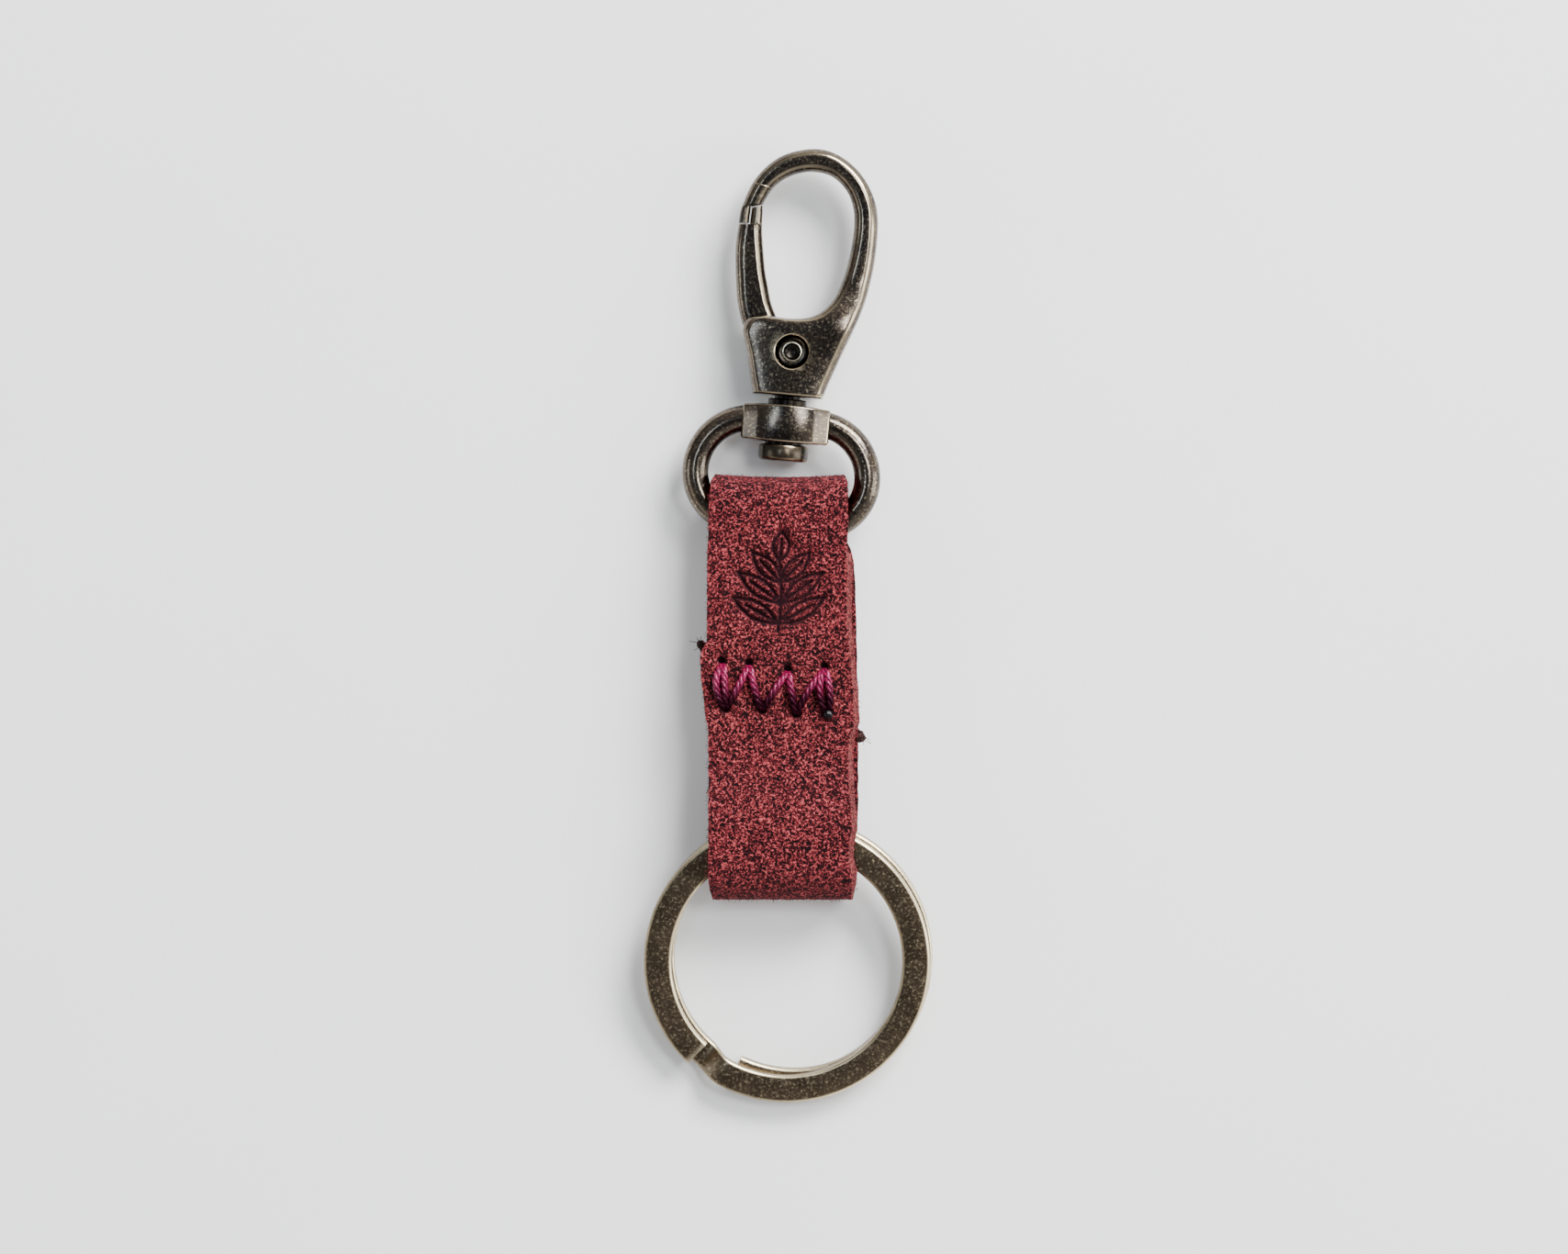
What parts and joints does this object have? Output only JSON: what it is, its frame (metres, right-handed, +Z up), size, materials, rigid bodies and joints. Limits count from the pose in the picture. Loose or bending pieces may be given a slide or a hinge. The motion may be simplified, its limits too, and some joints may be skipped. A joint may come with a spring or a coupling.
{
  "type": "key fob with a swivel snap hook, a sewn suede strap and a split key ring",
  "caption": "Suede strap folded through an antique-brass swivel snap hook at one end and a split key ring at the other, sewn with zigzag thread.",
  "frame": {"origin": "centre of the footprint, on the plane the fob lies on", "axes": "+Z up out of the fob's face, +Y along the strap towards the hook, +X across it"},
  "size_m": [0.03, 0.1002, 0.0098],
  "materials": {
    "suede": "napped burgundy suede with a stamped leaf",
    "thread": "waxed twisted thread",
    "antique_brass": "dark antiqued plating worn to pale gold on the edges",
    "spring_steel": "drawn wire"
  },
  "bodies": {
    "strap": {"leather_strap": "suede", "stitch_thread": "thread"},
    "loop": {"swivel_loop": "antique_brass"},
    "hook": {"hook_body": "antique_brass", "swivel_stud": "antique_brass", "gate_rivet": "antique_brass", "gate_spring": "spring_steel"},
    "gate": {"gate": "antique_brass"},
    "ring": {"split_ring": "antique_brass"}
  },
  "joints": [
    {"name": "loop_swing", "type": "hinge", "parent": "strap", "child": "loop", "pos_m": [-0.00097, 0.01149, 0.00385], "axis": [0.9962, -0.0872, 0], "range_deg": [-115, 115]},
    {"name": "swivel_spin", "type": "hinge", "parent": "loop", "child": "hook", "pos_m": [-0.00059, 0.0158, 0.00385], "axis": [0.0872, 0.9962, 0], "continuous": true},
    {"name": "gate_pivot", "type": "hinge", "parent": "hook", "child": "gate", "pos_m": [0.00054, 0.02868, 0.00385], "axis": [0, 0, -1], "range_deg": [0, 25], "stiffness_Nm_per_rad": 0.005, "springref_deg": -11.46},
    {"name": "ring_swing", "type": "hinge", "parent": "strap", "child": "ring", "pos_m": [0, -0.0232, 0.0049], "axis": [-1, 0, 0], "range_deg": [-160, 175]}
  ]
}
